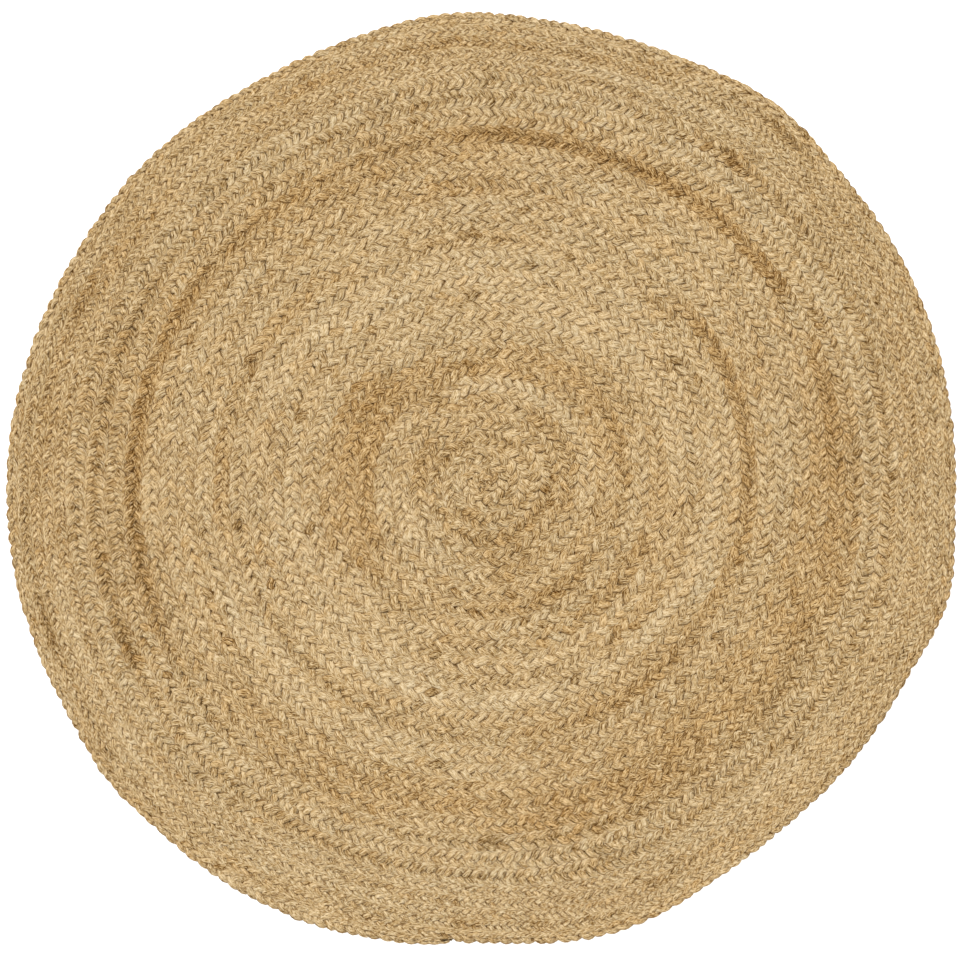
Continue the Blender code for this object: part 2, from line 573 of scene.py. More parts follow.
@dataclass
class Mesh:
    """A mesh as it is put together.

    Attributes:
        points: Its points.
        faces: Its faces, in groups with the same number of corners.
        values: The values on its points, by their names.
    """

    points: Array
    faces: list[Array]
    values: dict[str, Array] = field(default_factory=dict)

    def build(self, name: str) -> Piece:
        """Makes the object.

        Args:
            name: The object's name.

        Returns:
            The object, in the scene and shaded smooth.
        """
        data = bpy.data.meshes.new(name)
        sizes = np.concatenate([np.full(len(group), group.shape[1]) for group in self.faces])
        corners = np.concatenate([group.reshape(-1) for group in self.faces])
        data.vertices.add(len(self.points))
        data.vertices.foreach_set("co", self.points.astype(np.float32).reshape(-1))
        data.loops.add(len(corners))
        data.loops.foreach_set("vertex_index", corners.astype(np.int32))
        data.polygons.add(len(sizes))
        starts = np.concatenate(([0], np.cumsum(sizes)[:-1]))
        data.polygons.foreach_set("loop_start", starts.astype(np.int32))
        data.update(calc_edges=True)
        data.validate()
        data.shade_smooth()
        for label, value in self.values.items():
            self._store(data, label, value)
        piece = bpy.data.objects.new(name, data)
        bpy.context.scene.collection.objects.link(piece)
        return piece

    def _store(self, data: bpy.types.Mesh, label: str, value: Array) -> None:
        """Stores one value on the points of a mesh.

        Args:
            data: The mesh.
            label: The name of the value.
            value: A number or a vector for each point.
        """
        if value.ndim == 1:
            store = data.attributes.new(label, "FLOAT", "POINT")
            store.data.foreach_set("value", value.astype(np.float32))
        else:
            store = data.attributes.new(label, "FLOAT_VECTOR", "POINT")
            store.data.foreach_set("vector", value.astype(np.float32).reshape(-1))


def tube_faces(rings: int, sides: int) -> list[Array]:
    """The faces of a closed tube.

    Args:
        rings: The number of rings of points along it.
        sides: The number of points of a ring, counterclockwise as the tube runs away.

    Returns:
        Its wall, of four corners a face, and its two ends.
    """
    ring = np.arange(rings - 1)[:, None] * sides
    side = np.arange(sides)[None, :]
    following = (side + 1) % sides
    corners = (ring + side, ring + following, ring + sides + following, ring + sides + side)
    wall = np.stack(corners, axis=-1).reshape(-1, 4)
    ends = np.array([np.arange(sides)[::-1], np.arange(sides) + (rings - 1) * sides])
    return [wall, ends]


@dataclass(frozen=True)
class Rib:
    """One of the lines of points along a strand.

    Attributes:
        across: Its place across the strand, in half widths.
        up: Its height in the strand, in half thicknesses.
        wander: How far it wanders up and down, in half thicknesses.
    """

    across: float
    up: float
    wander: float = 0.0


def turned(across: Array, upwards: Array, angle: Array) -> tuple[Array, Array]:
    """Turns the rings of a strand round its middle.

    Args:
        across, upwards: The place of each point of each ring.
        angle: How far to turn each ring, in radians.

    Returns:
        The places across and upwards after the turn.
    """
    cosine, sine = np.cos(angle)[:, None], np.sin(angle)[:, None]
    return across * cosine - upwards * sine, across * sine + upwards * cosine


@dataclass
class Plait:
    """The three strands of the braid.

    A strand swings from edge to edge of the braid and back in each plait, which its own phase
    counts in radians. It crosses the middle at 0 and is at the outer edge a quarter round. A
    leg is what lies between two edges.

    Attributes:
        coil: The spiral that the braid follows.
        lay: How long one plait is.
        batches: The tones of the fibre.
        rings: The rings of points in one plait of a strand.
        ribs: The points of a ring, from the strand's outer edge over the top of it.
        rib_spacing: The length over which a rib wanders up and down.
        rib_shade: How far a rib wanders in shade, over rib_shade_spacing metres.
        groove_painted_shade: Painted shade: how much darker a rib is coloured as it sinks by half
            a thickness.
        swing: How far a strand swings from the middle, as a share of the half width.
        squareness: How long a strand runs along the edge before it turns back. Where it is
            negative, the legs are straighter and turn back more sharply.
        rim_squareness: The same in the last turn, at the rim.
        leg_stray: How far a leg strays across the braid, as a share of the half width.
        rim_calm: How much less it strays in the last turn, as a share.
        drift: How far the crossings drift across it, over drift_spacing metres.
        phase_stray: How far a leg strays along the braid, in radians.
        strand_width: Half a strand's width, as a share of the braid's half width.
        waist: How much narrower a strand is in the middle of the braid.
        leg_width, leg_thickness: How far one leg differs from the next in those, as shares.
        strand_height: Half a strand's thickness in the main braid and in the fine one.
        thin_below: The half width of the braid below which its strands are thinner too.
        lift: How far a strand rises over and dips under the others, in the main and the fine.
        middle_height: The height of the braid's middle above the floor, in the same two.
        leg_rise: How far one leg lies higher than the next, in metres.
        tip: How far one edge of the braid lies above the other, over tip_spacing metres.
        roll: How far a leg is rolled to one side, in radians.
        crispness: How quickly a strand changes from under to over.
        lag: How far past the edge a strand stays on top, in radians.
        top_share: How much longer a strand stays over the others than under them.
        twist: The turns that the fibre makes round its strand in one metre.
        fibre_stretch: The length of the fibre in a metre of the braid.
        fibre_shift: How far the fibre of one strand is set off from that of the next.
        floor_gap: How far the underside stays above the floor.
        inner_share: The share of a strand's rings that its inner length has.
    """

    coil: Coil
    lay: Lay
    batches: FibreBatches
    rings: int = 12
    ribs: tuple[Rib, ...] = (
        Rib(1.00, 0.10),
        Rib(0.76, 0.80, 0.14),
        Rib(0.38, 0.90, 0.20),
        Rib(0.00, 1.00, 0.14),
        Rib(-0.38, 0.90, 0.20),
        Rib(-0.76, 0.80, 0.14),
        Rib(-1.00, 0.10),
        Rib(0.00, -0.95),
    )
    rib_spacing: float = 0.009
    rib_shade: float = 0.32
    rib_shade_spacing: float = 0.013
    groove_painted_shade: float = 0.8
    swing: float = 0.60
    squareness: float = -0.11
    rim_squareness: float = 0.05
    leg_stray: float = 0.060
    rim_calm: float = 0.5
    drift: float = 0.10
    drift_spacing: float = 0.09
    phase_stray: float = 0.20
    strand_width: float = 0.57
    waist: float = 0.30
    leg_width: float = 0.10
    leg_thickness: float = 0.07
    strand_height: tuple[float, float] = (0.00215, 0.00190)
    thin_below: float = 0.006
    lift: tuple[float, float] = (0.00180, 0.00155)
    middle_height: tuple[float, float] = (0.00430, 0.00385)
    leg_rise: float = 0.00028
    tip: float = 0.00030
    tip_spacing: float = 0.12
    roll: float = 0.10
    crispness: float = 1.8
    lag: float = 0.35
    top_share: float = 0.30
    twist: float = 4.0
    fibre_stretch: float = 1.15
    fibre_shift: float = 7.0
    floor_gap: float = 0.0002
    inner_share: float = 0.50

    STRANDS = 3
    RIB_SEEDS = 20  # the seeds kept for the ribs of one strand
    LEAST_WIDTH = 1e-9  # stands in where the braid has no width, at its two ends
    LEG = math.pi  # the phase that one leg takes
    LEG_MIDDLE = 0.25  # how far past the crossing the middle of a leg lies, as a share of it
    FINE_BLEND = 0.1  # how far on each side of the splice the sizes change, in turns
    RIM_BLEND = 0.02  # the same for the squareness where the last turn starts

    def __post_init__(self) -> None:
        """Measures the middle of the braid."""
        self.line = CentreLine(self.coil, self.lay)
        self.grid = np.arange(0.0, self.line.phase[-1], 2.0 * math.pi / self.rings)
        self.places = self.line.read(self.grid)

    def _sized(self, sizes: tuple[float, float]) -> Array:
        """Blends two sizes at the splice.

        Args:
            sizes: The size in the main braid and in the fine one.

        Returns:
            The size at each ring.
        """
        splice, blend = self.coil.splice, self.FINE_BLEND
        fine = smooth_step(self.places.turns, splice - blend, splice + blend)
        return sizes[0] + (sizes[1] - sizes[0]) * fine

    def _along(self, seed: int, spacing: float) -> Array:
        """A random curve along the braid, at each ring."""
        length = self.places.length
        return Wander(seed, 0.0, float(length[-1]), spacing).at(length)

    def _legs(self, seed: int, own: Array) -> Array:
        """Draws a value for each leg of a strand.

        Args:
            seed: Names the draws.
            own: The strand's own phase at each ring.

        Returns:
            The value at each ring, with an even change between two legs.
        """
        first, last = float(own[0]), float(own[-1])
        start = first - (1.0 - self.LEG_MIDDLE) * self.LEG
        return Wander(seed, start, last, self.LEG).at(own)

    def tones(self, strand: int, own: Array) -> StrandTones:
        """The tone of a strand.

        Args:
            strand: Which of the three it is.
            own: The strand's own phase at each ring.

        Returns:
            The tone of its fibre at each ring.
        """
        batches, tone = self.batches, self.batches.tone(self.places.turns)
        alone = self._along(Seed.STRAND_SHADE + strand, batches.strand_spacing)
        shade = batches.braid_spread * self._along(Seed.BRAID_SHADE, batches.braid_spacing)
        shade += batches.strand_spread * alone
        shade += batches.leg_spread * self._legs(Seed.LEG_SHADE + strand, own)
        shade += tone.shade
        warm = self._along(Seed.STRAND_WARMTH + strand, batches.strand_spacing)
        warmth = batches.warmth_spread * warm + tone.warmth
        warmth += batches.leg_warmth * self._legs(Seed.LEG_WARMTH + strand, own)
        leg = np.floor((own + self.LEG_MIDDLE * self.LEG) / self.LEG).astype(int)
        drawn = np.random.default_rng(Seed.ODD_LEGS + strand).random(int(leg.max()) + 2)
        shade = np.where(drawn[leg] < batches.odd_legs, batches.odd_leg_shade, shade)
        return StrandTones(shade, warmth, tone.edge)

    def _path(self, strand: int, own: Array) -> tuple[Array, Array]:
        """The middle of a strand.

        Args:
            strand: Which of the three it is.
            own: The strand's own phase at each ring.

        Returns:
            Its offset outwards from the middle of the braid, and its height.
        """
        places, last_start = self.places, self.coil.end - 1.0
        blend = self.RIM_BLEND
        last = smooth_step(places.turns, last_start - blend, last_start + blend)
        squareness = self.squareness + (self.rim_squareness - self.squareness) * last
        swing = np.sin(own) + squareness * np.sin(3.0 * own)
        apex = self.drift * self._along(Seed.DRIFT, self.drift_spacing) * np.cos(own) ** 2
        stray = self.leg_stray * self._legs(Seed.LEG_STRAY + strand, own)
        stray = stray * (1.0 - self.rim_calm * last)
        offset = places.half_width * (self.swing * swing + apex + stray)
        over = np.tanh(self.crispness * (np.sin(2.0 * own - self.lag) + self.top_share))
        height = self._sized(self.middle_height) + self._sized(self.lift) * over
        height = height + self.leg_rise * self._legs(Seed.LEG_HEIGHT + strand, own)
        height = height + self.tip * self._along(Seed.TIP, self.tip_spacing) * swing
        return offset, height

    def _section(self, strand: int, own: Array, wave: Array) -> tuple[Array, Array]:
        """The rings of a strand before they are rolled and laid down.

        Args:
            strand: Which of the three it is.
            own: The strand's own phase at each ring.
            wave: How far each rib has wandered at each ring.

        Returns:
            The place of each point across its ring, and its height in it.
        """
        width = self.places.half_width * self.strand_width
        width = width * (1.0 - self.waist * np.cos(own) ** 2)
        width = width * (1.0 + self.leg_width * self._legs(Seed.LEG_WIDTH + strand, own))
        uneven = 1.0 + self.leg_thickness * self._legs(Seed.LEG_THICKNESS + strand, own)
        thick = self._sized(self.strand_height) * uneven
        thick = thick * np.minimum(self.places.half_width / self.thin_below, 1.0)
        across = np.array([rib.across for rib in self.ribs])
        up = np.array([rib.up for rib in self.ribs])
        wander = np.array([rib.wander for rib in self.ribs])
        return width[:, None] * across, thick[:, None] * (up + wander * wave)

    def _rib_waves(self, first_seed: int, strand: int, spacing: float) -> Array:
        """Draws a random curve for each rib of a strand.

        Args:
            first_seed: The seed of the first rib of the first strand.
            strand: Which of the strands it is.
            spacing: The distance between two drawn values.

        Returns:
            The value of each rib at each ring.
        """
        first = first_seed + self.RIB_SEEDS * strand
        seeds = range(first, first + len(self.ribs))
        return np.stack([self._along(seed, spacing) for seed in seeds], axis=1)

    def build_strand(self, strand: int, reach: Reach) -> Piece:
        """Makes one length of one strand.

        Args:
            strand: Which of the three it is.
            reach: Which of its lengths.

        Returns:
            The piece.
        """
        places = self.places
        own = self.grid + 2.0 * math.pi * strand / self.STRANDS
        own = own + self.phase_stray * self._legs(Seed.LEG_PHASE + strand, own)
        wave = self._rib_waves(Seed.RIB_HEIGHT, strand, self.rib_spacing)
        across, upwards = self._section(strand, own, wave)
        offset, height = self._path(strand, own)

        roll = self.roll * self._legs(Seed.LEG_ROLL + strand, own)
        tilted, raised = turned(across, upwards, roll)
        lean = np.arctan(np.gradient(offset, places.length))
        outwards = offset[:, None] + tilted * np.cos(lean)[:, None]
        forwards = -tilted * np.sin(lean)[:, None]
        flat = (
            places.points[:, None, :]
            + outwards[..., None] * places.outwards[:, None, :]
            + forwards[..., None] * places.along[:, None, :]
        )
        level = np.maximum(height[:, None] + raised, self.floor_gap)
        points = np.concatenate((flat, level[..., None]), axis=-1)

        round_strand = 2.0 * math.pi * self.twist * places.length
        run = places.length * self.fibre_stretch + self.fibre_shift * strand
        fibre = np.broadcast_arrays(run[:, None], *turned(across, upwards, round_strand))

        tone = self.tones(strand, own)
        wander = np.array([rib.wander for rib in self.ribs])
        rib_shade = self._rib_waves(Seed.RIB_SHADE, strand, self.rib_shade_spacing)
        shade = tone.shade[:, None] + self.rib_shade * rib_shade
        # Painted shade in the grooves: a wandering rib is coloured darker where it sinks.
        shade = shade + self.groove_painted_shade * np.minimum(wave, 0.0) * (wander > 0.0)
        half_width = np.maximum(places.half_width, self.LEAST_WIDTH)[:, None]
        from_middle = np.minimum(np.abs(outwards) / half_width, 1.0)
        shade = shade + tone.edge[:, None] * (from_middle**2 - self.batches.edge_balance)
        values = {
            "fibre": np.stack(fibre, axis=-1),
            "shade": shade,
            "warmth": np.broadcast_to(tone.warmth[:, None], level.shape),
            # Painted shade: the low sides of a strand are coloured darker, as where legs meet
            # deep in the braid; its top hardly at all.
            "painted_gap_shade": np.broadcast_to([1.0 - abs(rib.up) for rib in self.ribs], level.shape),
        }
        return self._cut(reach, points, values).build(f"strand_{strand + 1}_{reach.value}")

    def _cut(self, reach: Reach, points: Array, values: dict[str, Array]) -> Mesh:
        """Takes one length of a strand.

        Args:
            reach: Which length to take.
            points: The points of all rings of the strand.
            values: The values on those points.

        Returns:
            The length as a closed tube.
        """
        middle = int(len(points) * self.inner_share)
        part = slice(0, middle + 1) if reach is Reach.INNER else slice(middle, len(points))
        rings, sides = points[part].shape[:2]
        cut = {}
        for label, value in values.items():
            cut[label] = value[part].reshape(rings * sides, *value.shape[2:])
        return Mesh(points[part].reshape(-1, 3), tube_faces(rings, sides), cut)


@dataclass
class Bed:
    """The packed fibre between and under the strands, as one flat closed sheet.

    It follows the coil with rows of points across the braid. On each of its two faces the
    last point of a row is the first point of the row one turn further on.

    Attributes:
        coil: The spiral that the braid follows.
        batches: The tones of the fibre.
        steps_per_turn: How finely it follows the coil.
        inset: How far the sheet stays inside the rim.
        seam_heights: The lower and upper face at a seam.
        crest_heights: The lower and upper face at the middle of the braid.
        shares: Where its lines of points lie across the braid.
    """

    coil: Coil
    batches: FibreBatches
    steps_per_turn: int = 90
    inset: float = 0.0030
    seam_heights: tuple[float, float] = (0.0022, 0.0070)
    crest_heights: tuple[float, float] = (0.0016, 0.0048)
    shares: tuple[float, ...] = (0.0, 0.25, 0.5, 0.75)

    def __post_init__(self) -> None:
        """Counts the rows along the braid, and one turn more for the rim."""
        self.count = int(round((self.coil.end - self.coil.curl) * self.steps_per_turn))
        rows = self.count + self.steps_per_turn + 1
        self.turns = self.coil.curl + np.arange(rows) / self.steps_per_turn
        self.index = np.arange(rows * len(self.shares)).reshape(rows, -1)

    def build(self) -> Piece:
        """Makes the sheet.

        Returns:
            The piece.
        """
        tone, lines = self.batches.tone(self.turns), len(self.shares)
        crown = np.sin(math.pi * np.array(self.shares))
        values = {
            "shade": np.repeat(tone.shade, lines),
            "warmth": np.repeat(tone.warmth, lines),
            # Painted shade: the sheet is coloured darker towards the middle of the braid, deep
            # under the strands, and not at the seams.
            "painted_gap_shade": np.tile(crown**2, len(self.turns)),
        }
        for label, side in values.items():
            values[label] = np.concatenate((side, side, side[:2]))
        return self._joined(Mesh(self._points(crown), self._faces(), values)).build("jute_bed")

    def _points(self, crown: Array) -> Array:
        """The points of the upper face, of the lower face and of the middle of both.

        Args:
            crown: How far each line of points has risen from the seams to the crest.

        Returns:
            The points.
        """
        bearing = self.coil.bearing(self.turns)
        angle = np.radians(bearing)[:, None]
        inner, outer = self.coil.seam(self.turns), self.coil.seam(self.turns + 1.0)
        lines = [inner + share * (outer - inner) for share in self.shares]
        radius = np.stack([self.coil.lumped(line, bearing) for line in lines], axis=1)
        radius[self.count :, 0] -= self.inset
        faces = []
        for seam, crest in zip(self.seam_heights, self.crest_heights):
            height = np.broadcast_to(seam + (crest - seam) * crown, radius.shape)
            face = np.stack((radius * np.cos(angle), radius * np.sin(angle), height), -1)
            faces.append(face.reshape(-1, 3))
        middle = [[0.0, 0.0, height] for height in reversed(self.crest_heights)]
        return np.concatenate((*reversed(faces), middle))

    def _faces(self) -> list[Array]:
        """The faces of the sheet, with its curl and its rim not yet closed.

        Returns:
            The upper face, the lower face, the fans in the middle of both, and the rim.
        """
        index, count, turn = self.index, self.count, self.steps_per_turn
        below = index.size
        grid = np.column_stack((index[: count + 1], index[turn : turn + count + 1, 0]))
        near, far = grid[:-1], grid[1:]
        corners = (near[:, :-1], near[:, 1:], far[:, 1:], far[:, :-1])
        above = np.stack(corners, -1).reshape(-1, 4)
        curl, rim = index[: turn + 1, 0], index[count : count + turn + 1, 0]
        middle = np.full(turn, 2 * below)
        fan_above = np.column_stack((middle, curl[:-1], curl[1:]))
        fan_below = np.column_stack((middle + 1, curl[1:] + below, curl[:-1] + below))
        wall = np.column_stack((rim[1:], rim[:-1], rim[:-1] + below, rim[1:] + below))
        return [above, above[:, ::-1] + below, fan_above, fan_below, wall]

    def _joined(self, mesh: Mesh) -> Mesh:
        """Closes the curl and the rim and drops the points that no face uses.

        Args:
            mesh: The sheet, with its ends still apart.

        Returns:
            The closed sheet.
        """
        index, turn, below = self.index, self.steps_per_turn, self.index.size
        alias = np.arange(len(mesh.points))
        for row in (self.count, 0):
            first, last = index[row, 0], index[row + turn, 0]
            alias[[last, last + below]] = first, first + below
        faces = [alias[group] for group in mesh.faces]
        used = np.unique(np.concatenate([group.reshape(-1) for group in faces]))
        place = np.zeros(len(mesh.points), int)
        place[used] = np.arange(len(used))
        values = {label: value[used] for label, value in mesh.values.items()}
        return Mesh(mesh.points[used], [place[group] for group in faces], values)


@dataclass
class Hairs:
    """The loose fibres that stand off the strands.

    Attributes:
        plait: The strands that they come from.
        count: How many there are.
        bare_start: The share of the braid's rings, at its start, that has none.
        bare_end: The rings without any at the end of the tail.
        radius: Half the thickness of one, where it leaves its strand.
        tip_share: The share of that at its tip.
        segments: The straight pieces of one.
        lengths: How long the shortest and the longest are.
        reach: How far from the middle of the braid they start, in half widths.
        lean: The angle between a hair and the braid, in degrees.
        lean_spread: How far that differs, in radians.
        bend_spread: How far a hair bends, in radians.
        tops: The top of the strands in the main braid and in the fine one.
        rise: How far a hair stands off the top of the strands.
        rise_shares: The least and the most of that.
        sunk: How far its two ends lie below the top.
        shade, shade_spread: How pale they are, and how far that differs.
        seed: Names the draws.
    """

    plait: Plait
    count: int = 1500
    bare_start: float = 1.0 / 60.0
    bare_end: int = 40
    radius: float = 0.00011
    tip_share: float = 0.45
    segments: int = 6
    lengths: tuple[float, float] = (0.008, 0.024)
    reach: float = 0.8
    lean: float = 32.0
    lean_spread: float = 0.35
    bend_spread: float = 0.9
    tops: tuple[float, float] = (0.0079, 0.0070)
    rise: float = 0.0009
    rise_shares: tuple[float, float] = (0.4, 1.3)
    sunk: float = 0.0008
    shade: float = 0.8
    shade_spread: float = 0.9
    seed: int = Seed.HAIRS

    SIDES = 3

    def build(self) -> Piece:
        """Makes the hairs.

        Returns:
            The piece, all hairs in one mesh.
        """
        draw = np.random.default_rng(self.seed)
        rings = len(self.plait.places.turns)
        first, last = int(rings * self.bare_start), rings - self.bare_end
        picks = draw.integers(first, last, self.count)
        draw.integers(0, Plait.STRANDS, self.count)  # not read, but the later draws follow it
        lengths = draw.uniform(*self.lengths, self.count)
        size = (self.segments + 1) * self.SIDES
        points, shades, runs = [], [], []
        for pick, length in zip(picks, lengths):
            points.append(self._tube(self._path(draw, int(pick), float(length))))
            shades.append(np.full(size, draw.normal(self.shade, self.shade_spread)))
            runs.append(np.full((size, 3), draw.random()))
        shift = np.arange(self.count)[:, None, None] * size
        none = np.zeros(self.count * size)
        values = {
            "shade": np.concatenate(shades),
            "fibre": np.concatenate(runs),
            "warmth": none,
            "painted_gap_shade": none,
        }
        groups = tube_faces(self.segments + 1, self.SIDES)
        faces = [(group + shift).reshape(-1, group.shape[1]) for group in groups]
        return Mesh(np.concatenate(points), faces, values).build("loose_fibres")

    def _path(self, draw: np.random.Generator, pick: int, length: float) -> Array:
        """The line of one hair. In the last turn it points inwards, clear of the floor.

        Args:
            draw: The source of random numbers.
            pick: The ring of the braid that it starts at.
            length: Its length.

        Returns:
            The points along it.
        """
        places, coil = self.plait.places, self.plait.coil
        last_turn = places.turns[pick] > coil.end - 1.0
        side = 1.0 if draw.random() < 0.5 and not last_turn else -1.0
        spread = draw.uniform(-self.reach, 0.0 if last_turn else self.reach)
        base = places.points[pick] + places.outwards[pick] * places.half_width[pick] * spread
        lean = math.radians(self.lean) * side + draw.normal(0.0, self.lean_spread)
        heading = math.atan2(places.along[pick, 1], places.along[pick, 0]) - lean
        bend = draw.normal(0.0, self.bend_spread)
        bend = abs(bend) if last_turn else bend
        share = np.linspace(0.0, 1.0, self.segments + 1)
        angles = heading + bend * share
        moves = length / self.segments * np.column_stack((np.cos(angles), np.sin(angles)))
        flat = base + np.concatenate(([[0.0, 0.0]], np.cumsum(moves[1:], axis=0)))
        top = self.tops[0] if places.turns[pick] < coil.splice else self.tops[1]
        arch = np.sin(math.pi * share)
        rise = self.rise * draw.uniform(*self.rise_shares)
        return np.column_stack((flat, top + rise * arch - self.sunk * (1.0 - arch)))

    def _tube(self, path: Array) -> Array:
        """Puts rings of points round a line.

        Args:
            path: The points along the line.

        Returns:
            The points of the rings.
        """
        along = np.gradient(path, axis=0)
        along /= np.linalg.norm(along, axis=1)[:, None]
        side = np.cross(along, [0.0, 0.0, 1.0])
        side /= np.linalg.norm(side, axis=1)[:, None]
        up = np.cross(side, along)
        taper = np.linspace(1.0, self.tip_share, len(path))[:, None] * self.radius
        rings = []
        for corner in range(self.SIDES):
            angle = 2.0 * math.pi * corner / self.SIDES
            rings.append(path + taper * (math.cos(angle) * side + math.sin(angle) * up))
        return np.stack(rings, axis=1).reshape(-1, 3)


@dataclass(frozen=True)
class Grain:
    """A noise, and how it is read.

    Attributes:
        waves: Its waves in one metre: along the fibre, across it and up.
        detail: The number of finer waves on it.
        roughness: How strong those are.
        gain: What it is multiplied by.
        shift: What is added to that.
    """

    waves: tuple[float, ...]
    detail: float
    roughness: float
    gain: float
    shift: float


class NodeBench:
    """The shader nodes of one finish, wired from short lines."""

    def __init__(self, name: str) -> None:
        """Starts a material with a principled shader.

        Args:
            name: The material's name.
        """
        self.material = bpy.data.materials.new(name)
        self.material.use_nodes = True
        self.tree = self.material.node_tree
        self.shader = self.tree.nodes["Principled BSDF"]

    def dress(self, settings: dict[str, float | tuple[float, ...]]) -> None:
        """Sets inputs of the shader, by their names."""
        for label, value in settings.items():
            self.shader.inputs[label].default_value = value

    def node(self, kind: str, **settings: object) -> bpy.types.Node:
        """Adds a node.

        Args:
            kind: The type of the node.
            settings: Its properties.

        Returns:
            The node.
        """
        made = self.tree.nodes.new(kind)
        for label, value in settings.items():
            setattr(made, label, value)
        return made

    def wire(self, source: Socket, target: Socket) -> None:
        """Joins two sockets."""
        self.tree.links.new(source, target)

    def value(self, label: str) -> Socket:
        """A number stored on the mesh."""
        return self.node("ShaderNodeAttribute", attribute_name=label).outputs["Fac"]

    def vector(self, label: str) -> Socket:
        """A vector stored on the mesh."""
        return self.node("ShaderNodeAttribute", attribute_name=label).outputs["Vector"]

    def round_the_coil(self) -> Socket:
        """Measures the place on the rug.

        Returns:
            The place along the turns, across them and up.
        """
        place = self.node("ShaderNodeSeparateXYZ")
        self.wire(self.node("ShaderNodeTexCoord").outputs["Object"], place.inputs[0])
        east, north, up = place.outputs
        squares = self.math("MULTIPLY_ADD", east, east, self.math("MULTIPLY", north, north))
        radius = self.math("SQRT", squares)
        along = self.math("MULTIPLY", self.math("ARCTAN2", north, east), radius)
        joined = self.node("ShaderNodeCombineXYZ")
        for source, target in zip((along, radius, up), joined.inputs):
            self.wire(source, target)
        return joined.outputs[0]

    def math(self, operation: str, *given: Socket | float) -> Socket:
        """Adds a sum.

        Args:
            operation: What it does, such as MULTIPLY_ADD.
            given: The numbers or sockets that it works on.

        Returns:
            The result.
        """
        made = self.node("ShaderNodeMath", operation=operation)
        for socket, number in zip(made.inputs, given):
            if isinstance(number, Socket):
                self.wire(number, socket)
            else:
                socket.default_value = number
        return made.outputs[0]

    def clamped(self, value: Socket, least: float, most: float) -> Socket:
        """Keeps a number between two others."""
        return self.math("MINIMUM", self.math("MAXIMUM", value, least), most)

    def noise(self, place: Socket, grain: Grain) -> Socket:
        """Adds a noise.

        Args:
            place: The place in the strand: along, across and up.
            grain: The noise.

        Returns:
            The noise, about 0.5.
        """
        mapping = self.node("ShaderNodeMapping")
        mapping.inputs["Scale"].default_value = grain.waves
        self.wire(place, mapping.inputs["Vector"])
        made = self.node("ShaderNodeTexNoise")
        made.inputs["Scale"].default_value = 1.0
        made.inputs["Detail"].default_value = grain.detail
        made.inputs["Roughness"].default_value = grain.roughness
        self.wire(mapping.outputs["Vector"], made.inputs["Vector"])
        return made.outputs["Fac"]

    def read(self, noise: Socket, grain: Grain) -> Socket:
        """Reads a noise as its grain says."""
        return self.math("MULTIPLY_ADD", noise, grain.gain, grain.shift)

    def ramp(self, amount: Socket, stops: dict[float, Colour]) -> Socket:
        """Adds a ramp of colours.

        Args:
            amount: What it reads.
            stops: The colour at each of its places.

        Returns:
            The colour.
        """
        made = self.node("ShaderNodeValToRGB")
        elements = made.color_ramp.elements
        while len(elements) < len(stops):
            elements.new(1.0)
        for element, (position, colour) in zip(elements, stops.items()):
            element.position = position
            element.color = (*colour, 1.0)
        self.wire(amount, made.inputs["Fac"])
        return made.outputs["Color"]

    def tint(self, colour: Socket, amount: Socket, tone: Colour) -> Socket:
        """Multiplies a colour by a tone.

        Args:
            colour: The colour.
            amount: How far that is done, from 0 to 1.
            tone: The tone.

        Returns:
            The tinted colour.
        """
        made = self.node("ShaderNodeMix", data_type="RGBA", blend_type="MULTIPLY")
        self.wire(amount, made.inputs["Factor"])
        self.wire(colour, made.inputs["A"])
        made.inputs["B"].default_value = (*tone, 1.0)
        return made.outputs["Result"]


